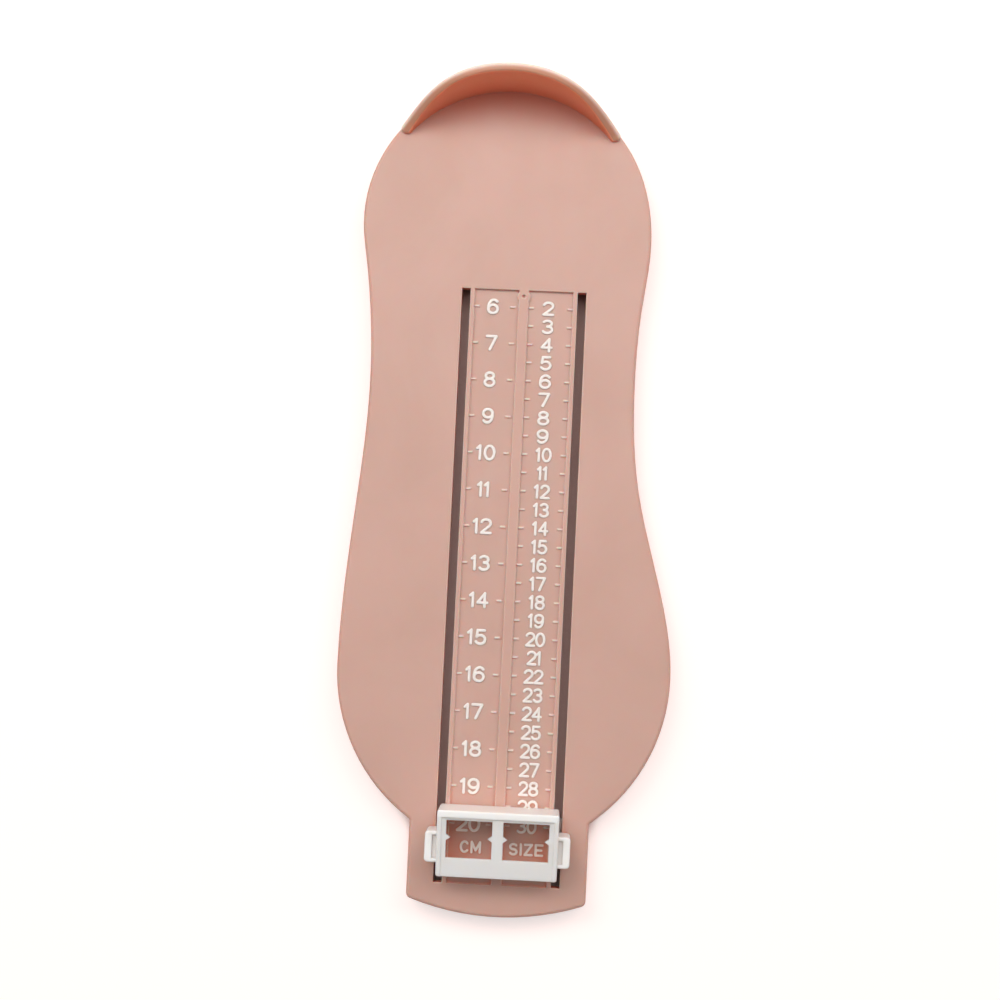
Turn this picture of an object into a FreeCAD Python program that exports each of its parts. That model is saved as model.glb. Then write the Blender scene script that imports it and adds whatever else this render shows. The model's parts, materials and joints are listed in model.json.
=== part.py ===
import FreeCAD, Part
import math
import os

import Sketcher

# Infant foot measuring gauge. +Z is up, +Y points to the heel end, +X to the right.
# The origin is under the middle of the board, on the plane that the board rests on.
# A reading is a distance in millimetres from the inner face of the heel cup towards the toes.

SIZES = [
    # name, millimetres or degrees, what it is
    ("board_length", 226.7, "heel cup's back to the tip of the tongue"),
    ("board_height", 8.0, "rest plane to the top of the board"),
    ("plate_thickness", 2.0, "top plate of the board"),
    ("skirt_wall", 2.0, "rim that hangs down round the board"),
    ("edge_round", 0.9, "rounding of the board's top edge"),
    ("heel_radius", 39.2, "round of the heel"),
    ("heel_centre_x", -4.9, "the heel sits a little to the left of the middle"),
    ("heel_turn_left", 100.0, "angle of the heel's arc to the left of the back"),
    ("heel_turn_right", 54.0, "angle of the heel's arc to the right of the back"),
    ("waist_left_x", 40.1, "left edge at the narrowest place"),
    ("waist_left_y", 28.0, "narrowest place on the left"),
    ("hip_left_x", 42.8, "left edge where the waist opens to the forefoot"),
    ("hip_left_y", -10.0, "the same place along the board"),
    ("heel_right_x", 34.8, "right edge at the widest place of the heel"),
    ("heel_right_y", 69.0, "the same place along the board"),
    ("arch_right_x", 33.0, "right edge where the heel runs into the waist"),
    ("arch_right_y", 51.8, "the same place along the board"),
    ("waist_right_x", 32.0, "right edge at the narrowest place"),
    ("waist_right_y", 32.0, "narrowest place on the right"),
    ("flank_right_x", 34.2, "right edge where the waist ends"),
    ("flank_right_y", 2.8, "the same place along the board"),
    ("hip_right_x", 42.9, "right edge where it runs out to the forefoot"),
    ("hip_right_y", -31.0, "the same place along the board"),
    ("forefoot_radius", 49.0, "round of the board's toe corners"),
    ("forefoot_half_width", 45.0, "widest place from the middle"),
    ("forefoot_y", -47.8, "widest place along the board"),
    ("tongue_half_width", 24.1, "half width of the tongue past the toes"),
    ("tongue_tip_radius", 70.0, "bow of the tongue's end"),
    ("tongue_corner", 1.6, "rounding of the tongue's two corners"),
    ("shoulder_round", 0.8, "rounding where the tongue leaves the board"),
    ("cup_wall", 2.2, "wall of the heel cup at its highest point"),
    ("cup_draft", 2.0, "angle by which the heel cup's inner face leans outwards"),
    ("cup_rise", 17.0, "heel cup's highest point above the board"),
    ("cup_reach", 15.6, "heel cup's back to its two ends, along the board"),
    ("cup_end_rise", 0.8, "height left at the two ends of the heel cup"),
    ("cup_end_round", 1.2, "rounding of the heel cup's two ends, seen from above"),
    ("cup_rim_round", 0.6, "rounding of the heel cup's rim"),
    ("scale_x", 0.8, "middle line of the scale and the slider"),
    ("slot_inner", 14.6, "scale's middle line to a slot's inner edge"),
    ("slot_width", 2.35, "width of each guide slot"),
    ("slot_start", 55.3, "reading where the slots start"),
    ("slot_margin", 8.6, "slots' toe ends to the tip of the tongue"),
    ("rail_width", 1.15, "strip between a slot and the sunk panel"),
    ("panel_depth", 0.8, "how far the scale panel is sunk"),
    ("spine_width", 2.6, "rib along the middle of the panel"),
    ("spine_head", 1.75, "radius of the rib's round head"),
    ("gate_radius", 0.5, "radius of the moulding gate's dimple"),
    ("gate_depth", 0.5, "depth of that dimple"),
    ("collar_wall", 1.2, "wall of the collar round each slot, underneath"),
    ("collar_depth", 1.4, "collar below the top plate"),
    ("rib_wall", 1.1, "ribs under the board"),
    ("rib_lift", 1.0, "ribs' lower edges above the rest plane"),
    ("rib_pitch", 24.0, "step of the cross ribs"),
    ("rib_first", 20.0, "reading of the first cross rib"),
    ("channel_gap", 1.3, "free room beside the cross plate, as far as the long ribs"),
    ("scale_first", 60.0, "first reading of both scales"),
    ("word_room", 15.0, "least room for the unit words between the last tick and the slots' ends"),
    ("length_pitch", 10.0, "step of the centimetre scale"),
    ("size_pitch", 5.0, "step of the size scale"),
    ("tick_length", 1.4, "length of a tick"),
    ("tick_width", 0.45, "width of a tick"),
    ("tick_rise", 0.35, "height of a tick above the panel"),
    ("tick_edge", 0.05, "gap between the outer ticks and the panel's edge"),
    ("tick_spine_gap", 0.85, "gap between the centimetre ticks and the middle rib"),
    ("size_spine_gap", 0.15, "gap between the size ticks and the middle rib"),
    ("stand_gap", 3.6, "slots' toe ends to the slider's legs, as the slider stands"),
    ("slider_length", 18.0, "slider along the scale"),
    ("slide_gap", 0.15, "running gap between a leg and its slot's inner edge"),
    ("glide_gap", 0.3, "running gap under the slider's body"),
    ("stop_rise", 13.0, "toe stop's top above the board"),
    ("stop_wall", 1.9, "wall of the toe stop"),
    ("cheek_wall", 1.2, "side walls and legs of the slider"),
    ("cheek_end_rise", 8.3, "side walls' height above the board at the toe end"),
    ("slider_corner", 0.6, "rounding of the slider's upright corners"),
    ("slider_round", 0.4, "rounding of the slider's top edges"),
    ("slope_round", 1.0, "rounding where the slider's top begins to slope"),
    ("plate_drop", 0.45, "window plate below the tops of the side walls"),
    ("window_plate_wall", 1.3, "thickness of the window plate"),
    ("end_wall", 1.3, "wall that closes the slider's toe end"),
    ("window_start", 2.6, "toe stop's face to the windows"),
    ("window_end", 12.9, "toe stop's face to the windows' far edge"),
    ("window_outer", 13.5, "middle line to a window's outer edge"),
    ("divider_width", 2.9, "bar between the two windows"),
    ("pointer_place", 7.3, "toe stop's face to the reading pointers"),
    ("pointer_size", 1.1, "reach of a reading pointer"),
    ("pointer_width", 1.6, "foot of a reading pointer"),
    ("tab_reach", 3.2, "finger tabs beyond the slider's sides"),
    ("tab_start", 6.1, "toe stop's face to the finger tabs"),
    ("tab_length", 8.2, "finger tabs along the scale"),
    ("tab_drop", 0.1, "finger tabs' top below the rounded edge of the side walls"),
    ("tab_wall", 1.9, "raised lip round a finger tab"),
    ("tab_end_wall", 1.0, "lip across a finger tab's two ends"),
    ("tab_floor_drop", 0.8, "finger tab's floor below its lip"),
    ("tab_shell", 1.2, "wall of a finger tab from its hollow"),
    ("tab_corner", 1.0, "rounding of a finger tab's corners"),
    ("leg_inset", 0.6, "legs are this much shorter than the body at each end"),
    ("tongue_length", 7.0, "snap tongue at the foot of a leg"),
    ("barb_reach", 0.6, "catch of a snap tongue"),
    ("barb_height", 1.3, "height of a snap tongue's catch"),
    ("snap_gap", 0.1, "gap round a snap tongue in the keeper"),
    ("keeper_thickness", 1.5, "cross plate that holds the slider down"),
    ("keeper_length", 12.0, "cross plate along the scale"),
    ("keeper_half_width", 20.0, "cross plate from the middle line"),
    ("keeper_gap", 0.3, "running gap between the cross plate and the collars"),
    ("keeper_corner", 2.0, "rounding of the cross plate's corners"),
    ("keeper_rib", 0.7, "stiffening lip under the cross plate's long sides"),
]

SHEET = "Sizes"
ALONG_HEEL = "(Sizes.board_length / 2 - Sizes.cup_wall)"
PLATE_UNDERSIDE = "([board_height] - [plate_thickness])"
SLOT_END = "([board_length] - [cup_wall] - [slot_margin])"
SLOTS_LOW = f"-{SLOT_END}"
SLOTS_HIGH = "-[slot_start]"
CHANNEL_HALF = "([keeper_half_width] + [channel_gap])"
RIM_SECTIONS = 13  # cross sections through which the heel cup's rim is cut
RIM_SPARE = 4.0  # degrees by which that cut runs past the heel cup's ends
NEAR = 1e-3  # millimetres within which two places count as one
LEVEL = 1e-6  # millimetres by which an edge may miss being level, upright or in line


def make_sheet(doc):
    """Put every driving dimension into the document's spreadsheet."""
    sheet = doc.addObject("Spreadsheet::Sheet", SHEET)
    for row, (name, value, note) in enumerate(SIZES, start=1):
        sheet.set(f"A{row}", name)
        sheet.set(f"B{row}", str(value))
        sheet.setAlias(f"B{row}", name)
        sheet.set(f"C{row}", note)
    doc.recompute()
    return sheet


def in_sheet(text):
    """Turn plain size names in a formula into references to the sheet."""
    for name, _value, _note in sorted(SIZES, key=lambda size: -len(size[0])):
        text = text.replace(f"[{name}]", f"{SHEET}.{name}")
    return text.replace("[heel_face]", ALONG_HEEL)


def number(feature, formula):
    """Work a formula out now, in the sheet's own units."""
    result = feature.evalExpression(in_sheet(formula))
    return float(getattr(result, "Value", result))


def sketch_on(body, name, plane="XY_Plane", lift=None, on_scale=False):
    """Start a sketch on one of the body's origin planes, raised by a formula if one is given.

    On the scale, x counts from the scale's middle line and y is minus the reading.
    """
    sketch = body.newObject("Sketcher::SketchObject", name)
    support = next(part for part in body.Origin.OriginFeatures if part.Role == plane)
    sketch.AttachmentSupport = [(support, "")]
    sketch.MapMode = "FlatFace"
    if lift:
        sketch.setExpression("AttachmentOffset.Base.z", in_sheet(lift))
    if on_scale:
        sketch.setExpression("AttachmentOffset.Base.x", in_sheet("[scale_x]"))
        sketch.setExpression("AttachmentOffset.Base.y", in_sheet("[heel_face]"))
    return sketch


def hold(sketch, kind, vertex, formula):
    """Tie a vertex's distance from the sketch's origin to a formula."""
    geometry, end = vertex
    index = sketch.addConstraint(
        Sketcher.Constraint(kind, -1, 1, geometry, end, number(sketch, formula)))
    sketch.setExpression(f"Constraints[{index}]", in_sheet(formula))


def polygon(sketch, corners):
    """Draw a closed polygon whose corners are pairs of formulas."""
    first = sketch.GeometryCount
    points = [FreeCAD.Vector(number(sketch, x), number(sketch, y), 0) for x, y in corners]
    count = len(points)
    for index, point in enumerate(points):
        sketch.addGeometry(Part.LineSegment(point, points[(index + 1) % count]), False)
    for index in range(count):
        following = first + (index + 1) % count
        sketch.addConstraint(Sketcher.Constraint("Coincident", first + index, 2, following, 1))
    for index, (x, y) in enumerate(corners):
        hold(sketch, "DistanceX", (first + index, 1), x)
        hold(sketch, "DistanceY", (first + index, 1), y)


def rectangle(sketch, left, right, low, high):
    """Draw a rectangle between four formulas."""
    polygon(sketch, [(left, low), (right, low), (right, high), (left, high)])


def both_sides(sketch, inner, outer, low, high):
    """Draw one rectangle on each side of the middle line."""
    rectangle(sketch, inner, outer, low, high)
    rectangle(sketch, f"-({outer})", f"-({inner})", low, high)


def circle(sketch, x, y, radius):
    """Draw a circle whose place and radius are formulas."""
    centre = FreeCAD.Vector(number(sketch, x), number(sketch, y), 0)
    up = FreeCAD.Vector(0, 0, 1)
    index = sketch.addGeometry(Part.Circle(centre, up, number(sketch, radius)), False)
    hold(sketch, "DistanceY", (index, 3), y)
    if abs(centre.x) < LEVEL:
        sketch.addConstraint(Sketcher.Constraint("PointOnObject", index, 3, -2))
    else:
        hold(sketch, "DistanceX", (index, 3), x)
    size = sketch.addConstraint(Sketcher.Constraint("Radius", index, number(sketch, radius)))
    sketch.setExpression(f"Constraints[{size}]", in_sheet(radius))


def pad(body, sketch, length, name):
    """Raise a sketch upwards by a formula."""
    feature = body.newObject("PartDesign::Pad", name)
    feature.Profile = sketch
    feature.setExpression("Length", in_sheet(length))
    sketch.Visibility = False
    return feature


def pocket(body, sketch, depth, name, upwards=False):
    """Sink a sketch into the body by a formula, or right through it if there is none."""
    feature = body.newObject("PartDesign::Pocket", name)
    feature.Profile = sketch
    feature.Reversed = upwards
    if depth is None:
        feature.Type = "ThroughAll"
    else:
        feature.setExpression("Length", in_sheet(depth))
    sketch.Visibility = False
    return feature


def fillet(doc, body, radius, name, wanted):
    """Round every edge of the body that the test picks."""
    doc.recompute()
    base = body.Tip
    picked = [f"Edge{index}" for index, edge in enumerate(base.Shape.Edges, start=1) if wanted(edge)]
    feature = body.newObject("PartDesign::Fillet", name)
    feature.Base = (base, picked)
    feature.setExpression("Radius", in_sheet(radius))
    return feature


def repeat(doc, body, original, steps, pitch, name):
    """Repeat a feature along the scale, towards the toes."""
    doc.recompute()
    pattern = body.newObject("PartDesign::LinearPattern", name)
    pattern.Originals = [original]
    pattern.Direction = (original.Profile[0], ["V_Axis"])
    pattern.Reversed = True
    pattern.setExpression("Length", in_sheet(f"({steps}) * {pitch}"))
    pattern.setExpression("Occurrences", in_sheet(f"({steps}) + 1"))
    body.Tip = pattern
    return pattern


def is_upright(edge, x, y, reach):
    """Tell whether an edge is vertical and passes near a place in plan."""
    box = edge.BoundBox
    flat = box.XLength < LEVEL and box.YLength < LEVEL
    return flat and math.hypot(box.XMin - x, box.YMin - y) < reach


def polar(centre, radius, degrees):
    """Give the point of a circle at an angle."""
    turn = math.radians(degrees)
    return centre + FreeCAD.Vector(radius * math.cos(turn), radius * math.sin(turn), 0)


def arc(centre, radius, start, end):
    """Give the arc of a circle between two angles in degrees, anticlockwise."""
    ring = Part.Circle(centre, FreeCAD.Vector(0, 0, 1), radius)
    return Part.ArcOfCircle(ring, math.radians(start), math.radians(end))


def smooth(points, first_way, last_way):
    """Give one curve through points, with its direction set at both ends."""
    curve = Part.BSplineCurve()
    curve.interpolate(Points=points, InitialTangent=first_way, FinalTangent=last_way, Scale=False)
    return curve


def board_outline(sheet, inset=0.0):
    """Give the closed outline of the board, drawn in by an inset on every side."""
    half = sheet.board_length / 2
    heel = FreeCAD.Vector(sheet.heel_centre_x, half - sheet.heel_radius, 0)
    heel_radius = sheet.heel_radius - inset
    heel_left = polar(heel, heel_radius, 90 + sheet.heel_turn_left)
    heel_right = polar(heel, heel_radius, 90 - sheet.heel_turn_right)
    leave_left = polar(FreeCAD.Vector(), 1, 180 + sheet.heel_turn_left)
    leave_right = polar(FreeCAD.Vector(), 1, -sheet.heel_turn_right)
    straight_down = FreeCAD.Vector(0, -1, 0)

    corner_radius = sheet.forefoot_radius - inset
    shift = sheet.forefoot_radius - sheet.forefoot_half_width
    left_centre = FreeCAD.Vector(shift, sheet.forefoot_y, 0)
    right_centre = FreeCAD.Vector(-shift, sheet.forefoot_y, 0)

    tongue_left = sheet.scale_x - sheet.tongue_half_width + inset
    tongue_right = sheet.scale_x + sheet.tongue_half_width - inset
    left_angle = 180 + math.degrees(math.acos((left_centre.x - tongue_left) / corner_radius))
    right_angle = -math.degrees(math.acos((tongue_right - right_centre.x) / corner_radius))
    shoulder_left = polar(left_centre, corner_radius, left_angle)
    shoulder_right = polar(right_centre, corner_radius, right_angle)

    tip_radius = sheet.tongue_tip_radius - inset
    tip = FreeCAD.Vector(sheet.scale_x, -half + sheet.tongue_tip_radius, 0)
    spread = math.degrees(math.asin((tongue_right - sheet.scale_x) / tip_radius))
    tip_left = polar(tip, tip_radius, 270 - spread)
    tip_right = polar(tip, tip_radius, 270 + spread)

    left_side = smooth(
        [heel_left,
         FreeCAD.Vector(-sheet.waist_left_x + inset, sheet.waist_left_y, 0),
         FreeCAD.Vector(-sheet.hip_left_x + inset, sheet.hip_left_y, 0),
         polar(left_centre, corner_radius, 180)],
        leave_left, straight_down)
    right_side = smooth(
        [heel_right,
         FreeCAD.Vector(sheet.heel_right_x - inset, sheet.heel_right_y, 0),
         FreeCAD.Vector(sheet.arch_right_x - inset, sheet.arch_right_y, 0),
         FreeCAD.Vector(sheet.waist_right_x - inset, sheet.waist_right_y, 0),
         FreeCAD.Vector(sheet.flank_right_x - inset, sheet.flank_right_y, 0),
         FreeCAD.Vector(sheet.hip_right_x - inset, sheet.hip_right_y, 0),
         polar(right_centre, corner_radius, 0)],
        leave_right, straight_down)
    return [
        arc(heel, heel_radius, 90 - sheet.heel_turn_right, 90 + sheet.heel_turn_left),
        left_side,
        arc(left_centre, corner_radius, 180, left_angle),
        Part.LineSegment(shoulder_left, tip_left),
        arc(tip, tip_radius, 270 - spread, 270 + spread),
        Part.LineSegment(tip_right, shoulder_right),
        arc(right_centre, corner_radius, right_angle, 0),
        right_side,
    ]


def cup_turn(sheet):
    """Give the angle, in degrees, from the heel's back to either end of the heel cup."""
    return math.degrees(math.acos((sheet.heel_radius - sheet.cup_reach) / sheet.heel_radius))


def cup_plan(sheet):
    """Give the plan of the heel cup's block: the heel's round, cut straight across, with rounded ends."""
    heel = FreeCAD.Vector(sheet.heel_centre_x, sheet.board_length / 2 - sheet.heel_radius, 0)
    inner_radius = sheet.heel_radius - sheet.cup_end_round
    round_y = sheet.heel_radius - sheet.cup_reach + sheet.cup_end_round
    turn = math.degrees(math.acos(round_y / inner_radius))
    left, right = [polar(heel, inner_radius, 90 + way * turn) for way in (1, -1)]
    foot = FreeCAD.Vector(0, -sheet.cup_end_round, 0)
    return [arc(heel, sheet.heel_radius, 90 - turn, 90 + turn),
            arc(left, sheet.cup_end_round, 90 + turn, 270),
            Part.LineSegment(left + foot, right + foot),
            arc(right, sheet.cup_end_round, -90, 90 - turn)]


def rim_height(sheet, degrees):
    """Give the rim's height above the board, at an angle from the heel's back.

    It eases out of the low ends and into the highest point, as the cosine of the angle grows.
    """
    end = math.cos(math.radians(cup_turn(sheet)))
    share = max(0.0, (math.cos(math.radians(degrees)) - end) / (1 - end))
    ease = share * share * (3 - 2 * share)
    return sheet.cup_end_rise + (sheet.cup_rise - sheet.cup_end_rise) * ease


def span_at(sheet, inset, y):
    """Give the left and right ends of a line across the board's outline, drawn in by an inset."""
    outline = Part.Face(Part.Wire([side.toShape() for side in board_outline(sheet, inset)]))
    across = Part.makeLine(FreeCAD.Vector(-sheet.board_length, y, 0),
                           FreeCAD.Vector(sheet.board_length, y, 0))
    box = outline.common(across).BoundBox
    return box.XMin, box.XMax


def strip(left, right, y, width):
    """Give the four sides of a strip that runs across the board."""
    corners = [FreeCAD.Vector(left, y - width / 2, 0), FreeCAD.Vector(right, y - width / 2, 0),
               FreeCAD.Vector(right, y + width / 2, 0), FreeCAD.Vector(left, y + width / 2, 0)]
    return [Part.LineSegment(corners[index - 1], corners[index]) for index in range(4)]


def make_ribs(body, sheet):
    """Stiffen the underside: a long rib each side of the slider's channel, and cross ribs.

    The cross ribs end in the middle of the skirt's wall, so that they grow out of it.
    """
    rib_height = f"{PLATE_UNDERSIDE} - [rib_lift]"
    long_ribs = sketch_on(body, "long_rib_plan", lift="[rib_lift]", on_scale=True)
    both_sides(long_ribs, CHANNEL_HALF, f"{CHANNEL_HALF} + [rib_wall]",
               f"-{SLOT_END} - [slot_margin] / 2", "-[rib_first]")
    pad(body, long_ribs, rib_height, "long_ribs")

    cross = sketch_on(body, "cross_rib_plan", lift="[rib_lift]")
    channel = number(cross, f"{CHANNEL_HALF} + [rib_wall] / 2")
    toes = sheet.forefoot_y - sheet.rib_pitch / 2
    y = number(cross, "[heel_face] - [rib_first]")
    left, right = span_at(sheet, sheet.skirt_wall / 2, y)
    cross.addGeometry(strip(left, right, y, sheet.rib_wall), False)
    while y - sheet.rib_pitch > toes:
        y -= sheet.rib_pitch
        left, right = span_at(sheet, sheet.skirt_wall / 2, y)
        cross.addGeometry(strip(left, sheet.scale_x - channel, y, sheet.rib_wall), False)
        cross.addGeometry(strip(sheet.scale_x + channel, right, y, sheet.rib_wall), False)
    pad(body, cross, rib_height, "cross_ribs")


def make_board_shell(doc, body, sheet):
    """Make the foot-shaped plate with its skirt, hollow and ribbed underneath."""
    plan = sketch_on(body, "board_plan")
    plan.addGeometry(board_outline(sheet), False)
    pad(body, plan, "[board_height]", "board_block")
    half = sheet.board_length / 2
    tip_drop = sheet.tongue_tip_radius - math.sqrt(
        sheet.tongue_tip_radius ** 2 - sheet.tongue_half_width ** 2)
    tips = [(sheet.scale_x - sheet.tongue_half_width, -half + tip_drop),
            (sheet.scale_x + sheet.tongue_half_width, -half + tip_drop)]
    reach = sheet.tongue_corner
    fillet(doc, body, "[tongue_corner]", "tongue_corners",
           lambda edge: any(is_upright(edge, x, y, reach) for x, y in tips))
    fillet(doc, body, "[shoulder_round]", "shoulder_rounds",
           lambda edge: any(is_upright(edge, x, sheet.forefoot_y - sheet.forefoot_radius,
                                       sheet.forefoot_radius / 2) for x, _y in tips))
    fillet(doc, body, "[edge_round]", "top_edge",
           lambda edge: edge.BoundBox.ZMin > sheet.board_height - LEVEL)

    hollow = sketch_on(body, "hollow_plan")
    hollow.addGeometry(board_outline(sheet, sheet.skirt_wall), False)
    pocket(body, hollow, PLATE_UNDERSIDE, "underside", upwards=True)
    make_ribs(body, sheet)


def cut_rim(body, sheet):
    """Cut the heel cup's block down to its rim, which lies level across the wall all the way round."""
    reach = cup_turn(sheet) + RIM_SPARE
    sections = []
    for index in range(RIM_SECTIONS):
        degrees = reach * (2 * index / (RIM_SECTIONS - 1) - 1)
        section = sketch_on(body, f"rim_section_{index + 1}", plane="YZ_Plane")
        section.AttachmentOffset = FreeCAD.Placement(
            FreeCAD.Vector(), FreeCAD.Rotation(FreeCAD.Vector(0, 1, 0), degrees))
        section.setExpression("AttachmentOffset.Base.x", in_sheet("[board_length] / 2 - [heel_radius]"))
        section.setExpression("AttachmentOffset.Base.z", in_sheet("[heel_centre_x]"))
        rectangle(section, "[heel_radius] - 2 * [cup_wall]", "[heel_radius] + [cup_wall]",
                  f"[board_height] + {rim_height(sheet, degrees)}", "[board_height] + 2 * [cup_rise]")
        section.Visibility = False
        sections.append(section)
    cut = body.newObject("PartDesign::SubtractiveLoft", "rim_cut")
    cut.Profile = sections[0]
    cut.Sections = sections[1:]


def make_heel_cup(doc, body, sheet):
    """Raise the heel cup on the board's rim: a block, cut to its rim and hollowed to a bowl."""
    plan = sketch_on(body, "cup_plan", lift=PLATE_UNDERSIDE)
    plan.addGeometry(cup_plan(sheet), False)
    pad(body, plan, "[plate_thickness] + [cup_rise] + [cup_wall]", "cup_block")
    bowl = sketch_on(body, "bowl_plan", lift="[board_height] + [cup_rise] + [cup_wall]")
    circle(bowl, "[heel_centre_x]", "[board_length] / 2 - [heel_radius]", "[heel_radius] - [cup_wall]")
    hollow = pocket(body, bowl, "[cup_rise] + [cup_wall]", "cup_bowl")
    hollow.setExpression("TaperAngle", in_sheet("-[cup_draft]"))
    cut_rim(body, sheet)
    low = sheet.board_height + sheet.cup_end_rise / 2
    fillet(doc, body, "[cup_rim_round]", "cup_rim",
           lambda edge: edge.BoundBox.ZMin > low)


def make_scale(doc, body):
    """Sink the scale panel between the two slots and raise its ticks."""
    top = "[board_height]"
    slots = sketch_on(body, "slot_plan", lift=top, on_scale=True)
    both_sides(slots, "[slot_inner]", "[slot_inner] + [slot_width]", SLOTS_LOW, SLOTS_HIGH)
    pocket(body, slots, None, "guide_slots")

    panel_edge = "([slot_inner] - [rail_width])"
    panel = sketch_on(body, "panel_plan", lift=top, on_scale=True)
    both_sides(panel, "[spine_width] / 2", panel_edge, SLOTS_LOW, SLOTS_HIGH)
    pocket(body, panel, "[panel_depth]", "scale_panel")

    floor = "[board_height] - [panel_depth]"
    head = sketch_on(body, "spine_head_plan", lift=floor, on_scale=True)
    circle(head, "0", "-([slot_start] + [spine_head])", "[spine_head]")
    pad(body, head, "[panel_depth]", "spine_head")
    gate = sketch_on(body, "gate_plan", lift=top, on_scale=True)
    circle(gate, "0", "-([slot_start] + [spine_head])", "[gate_radius]")
    pocket(body, gate, "[gate_depth]", "gate_mark")

    collar = sketch_on(body, "collar_plan", lift=f"{PLATE_UNDERSIDE} - [collar_depth]", on_scale=True)
    both_sides(collar, "[slot_inner] - [collar_wall]", "[slot_inner] + [slot_width] + [collar_wall]",
               f"{SLOTS_LOW} - [collar_wall]", f"{SLOTS_HIGH} + [collar_wall]")
    both_sides(collar, "[slot_inner]", "[slot_inner] + [slot_width]", SLOTS_LOW, SLOTS_HIGH)
    pad(body, collar, "[collar_depth]", "slot_collars")

    outer = f"{panel_edge} - [tick_edge]"
    inner = "[spine_width] / 2"
    scale_room = f"({SLOT_END} - [word_room] - [scale_first])"
    columns = {
        "length": ([f"-({outer})", f"-({inner} + [tick_spine_gap] + [tick_length])"], "[length_pitch]"),
        "size": ([f"{inner} + [size_spine_gap]", f"{outer} - [tick_length]"], "[size_pitch]"),
    }
    for scale, (starts, pitch) in columns.items():
        plan = sketch_on(body, f"{scale}_tick_plan", lift=floor, on_scale=True)
        for start in starts:
            rectangle(plan, start, f"{start} + [tick_length]",
                      "-[scale_first] - [tick_width] / 2", "-[scale_first] + [tick_width] / 2")
        first = pad(body, plan, "[tick_rise]", f"{scale}_tick")
        repeat(doc, body, first, f"floor({scale_room} / {pitch})", pitch, f"{scale}_ticks")


def make_board(doc, sheet):
    """Make the board: one moulding with the plate, skirt, heel cup, slots and scale panel."""
    body = doc.addObject("PartDesign::Body", "board")
    body.Label = "base_board"
    make_board_shell(doc, body, sheet)
    make_heel_cup(doc, body, sheet)
    make_scale(doc, body)
    return body


STOP = f"(-{SLOT_END} + [stand_gap] - [leg_inset] + [slider_length])"
STOP_BACK = f"({STOP} - [stop_wall])"
SLIDER_END = f"({STOP} - [slider_length])"
SLIDER_HALF = "([slot_inner] + [slide_gap] + [cheek_wall])"
LEG_INNER = "([slot_inner] + [slide_gap])"
TAB_OUTER = f"({SLIDER_HALF} + [tab_reach])"
TAB_HIGH = f"({STOP} - [tab_start])"
TAB_LOW = f"({TAB_HIGH} - [tab_length])"
SLIDER_BOTTOM = "([board_height] + [glide_gap])"
SLIDER_TOP = "([board_height] + [stop_rise])"
SLOPE_FALL = "(([stop_rise] - [cheek_end_rise]) / ([slider_length] - [stop_wall]))"
TAB_TOP = f"({SLIDER_TOP} - {SLOPE_FALL} * ({STOP_BACK} - {TAB_LOW}) - [slider_round] - [tab_drop])"
KEEPER_TOP = f"({PLATE_UNDERSIDE} - [collar_depth] - [keeper_gap])"
KEEPER_BOTTOM = f"({KEEPER_TOP} - [keeper_thickness])"
SLIDER_MIDDLE = f"({STOP} - [slider_length] / 2)"
TONGUE_HIGH = f"({SLIDER_MIDDLE} + [tongue_length] / 2)"
TONGUE_LOW = f"({SLIDER_MIDDLE} - [tongue_length] / 2)"


def slope_at(place, drop="0"):
    """Give a point of the slider's sloping top in side view, some way below it."""
    return (f"[heel_face] + {place}", f"{SLIDER_TOP} - {SLOPE_FALL} * ({STOP_BACK} - {place}) - ({drop})")


def runs_inside(edge, place, reach):
    """Tell whether an edge runs straight across the slider near a place along it."""
    box = edge.BoundBox
    return box.YLength < LEVEL and abs(box.YMin - place) < reach / 2


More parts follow.
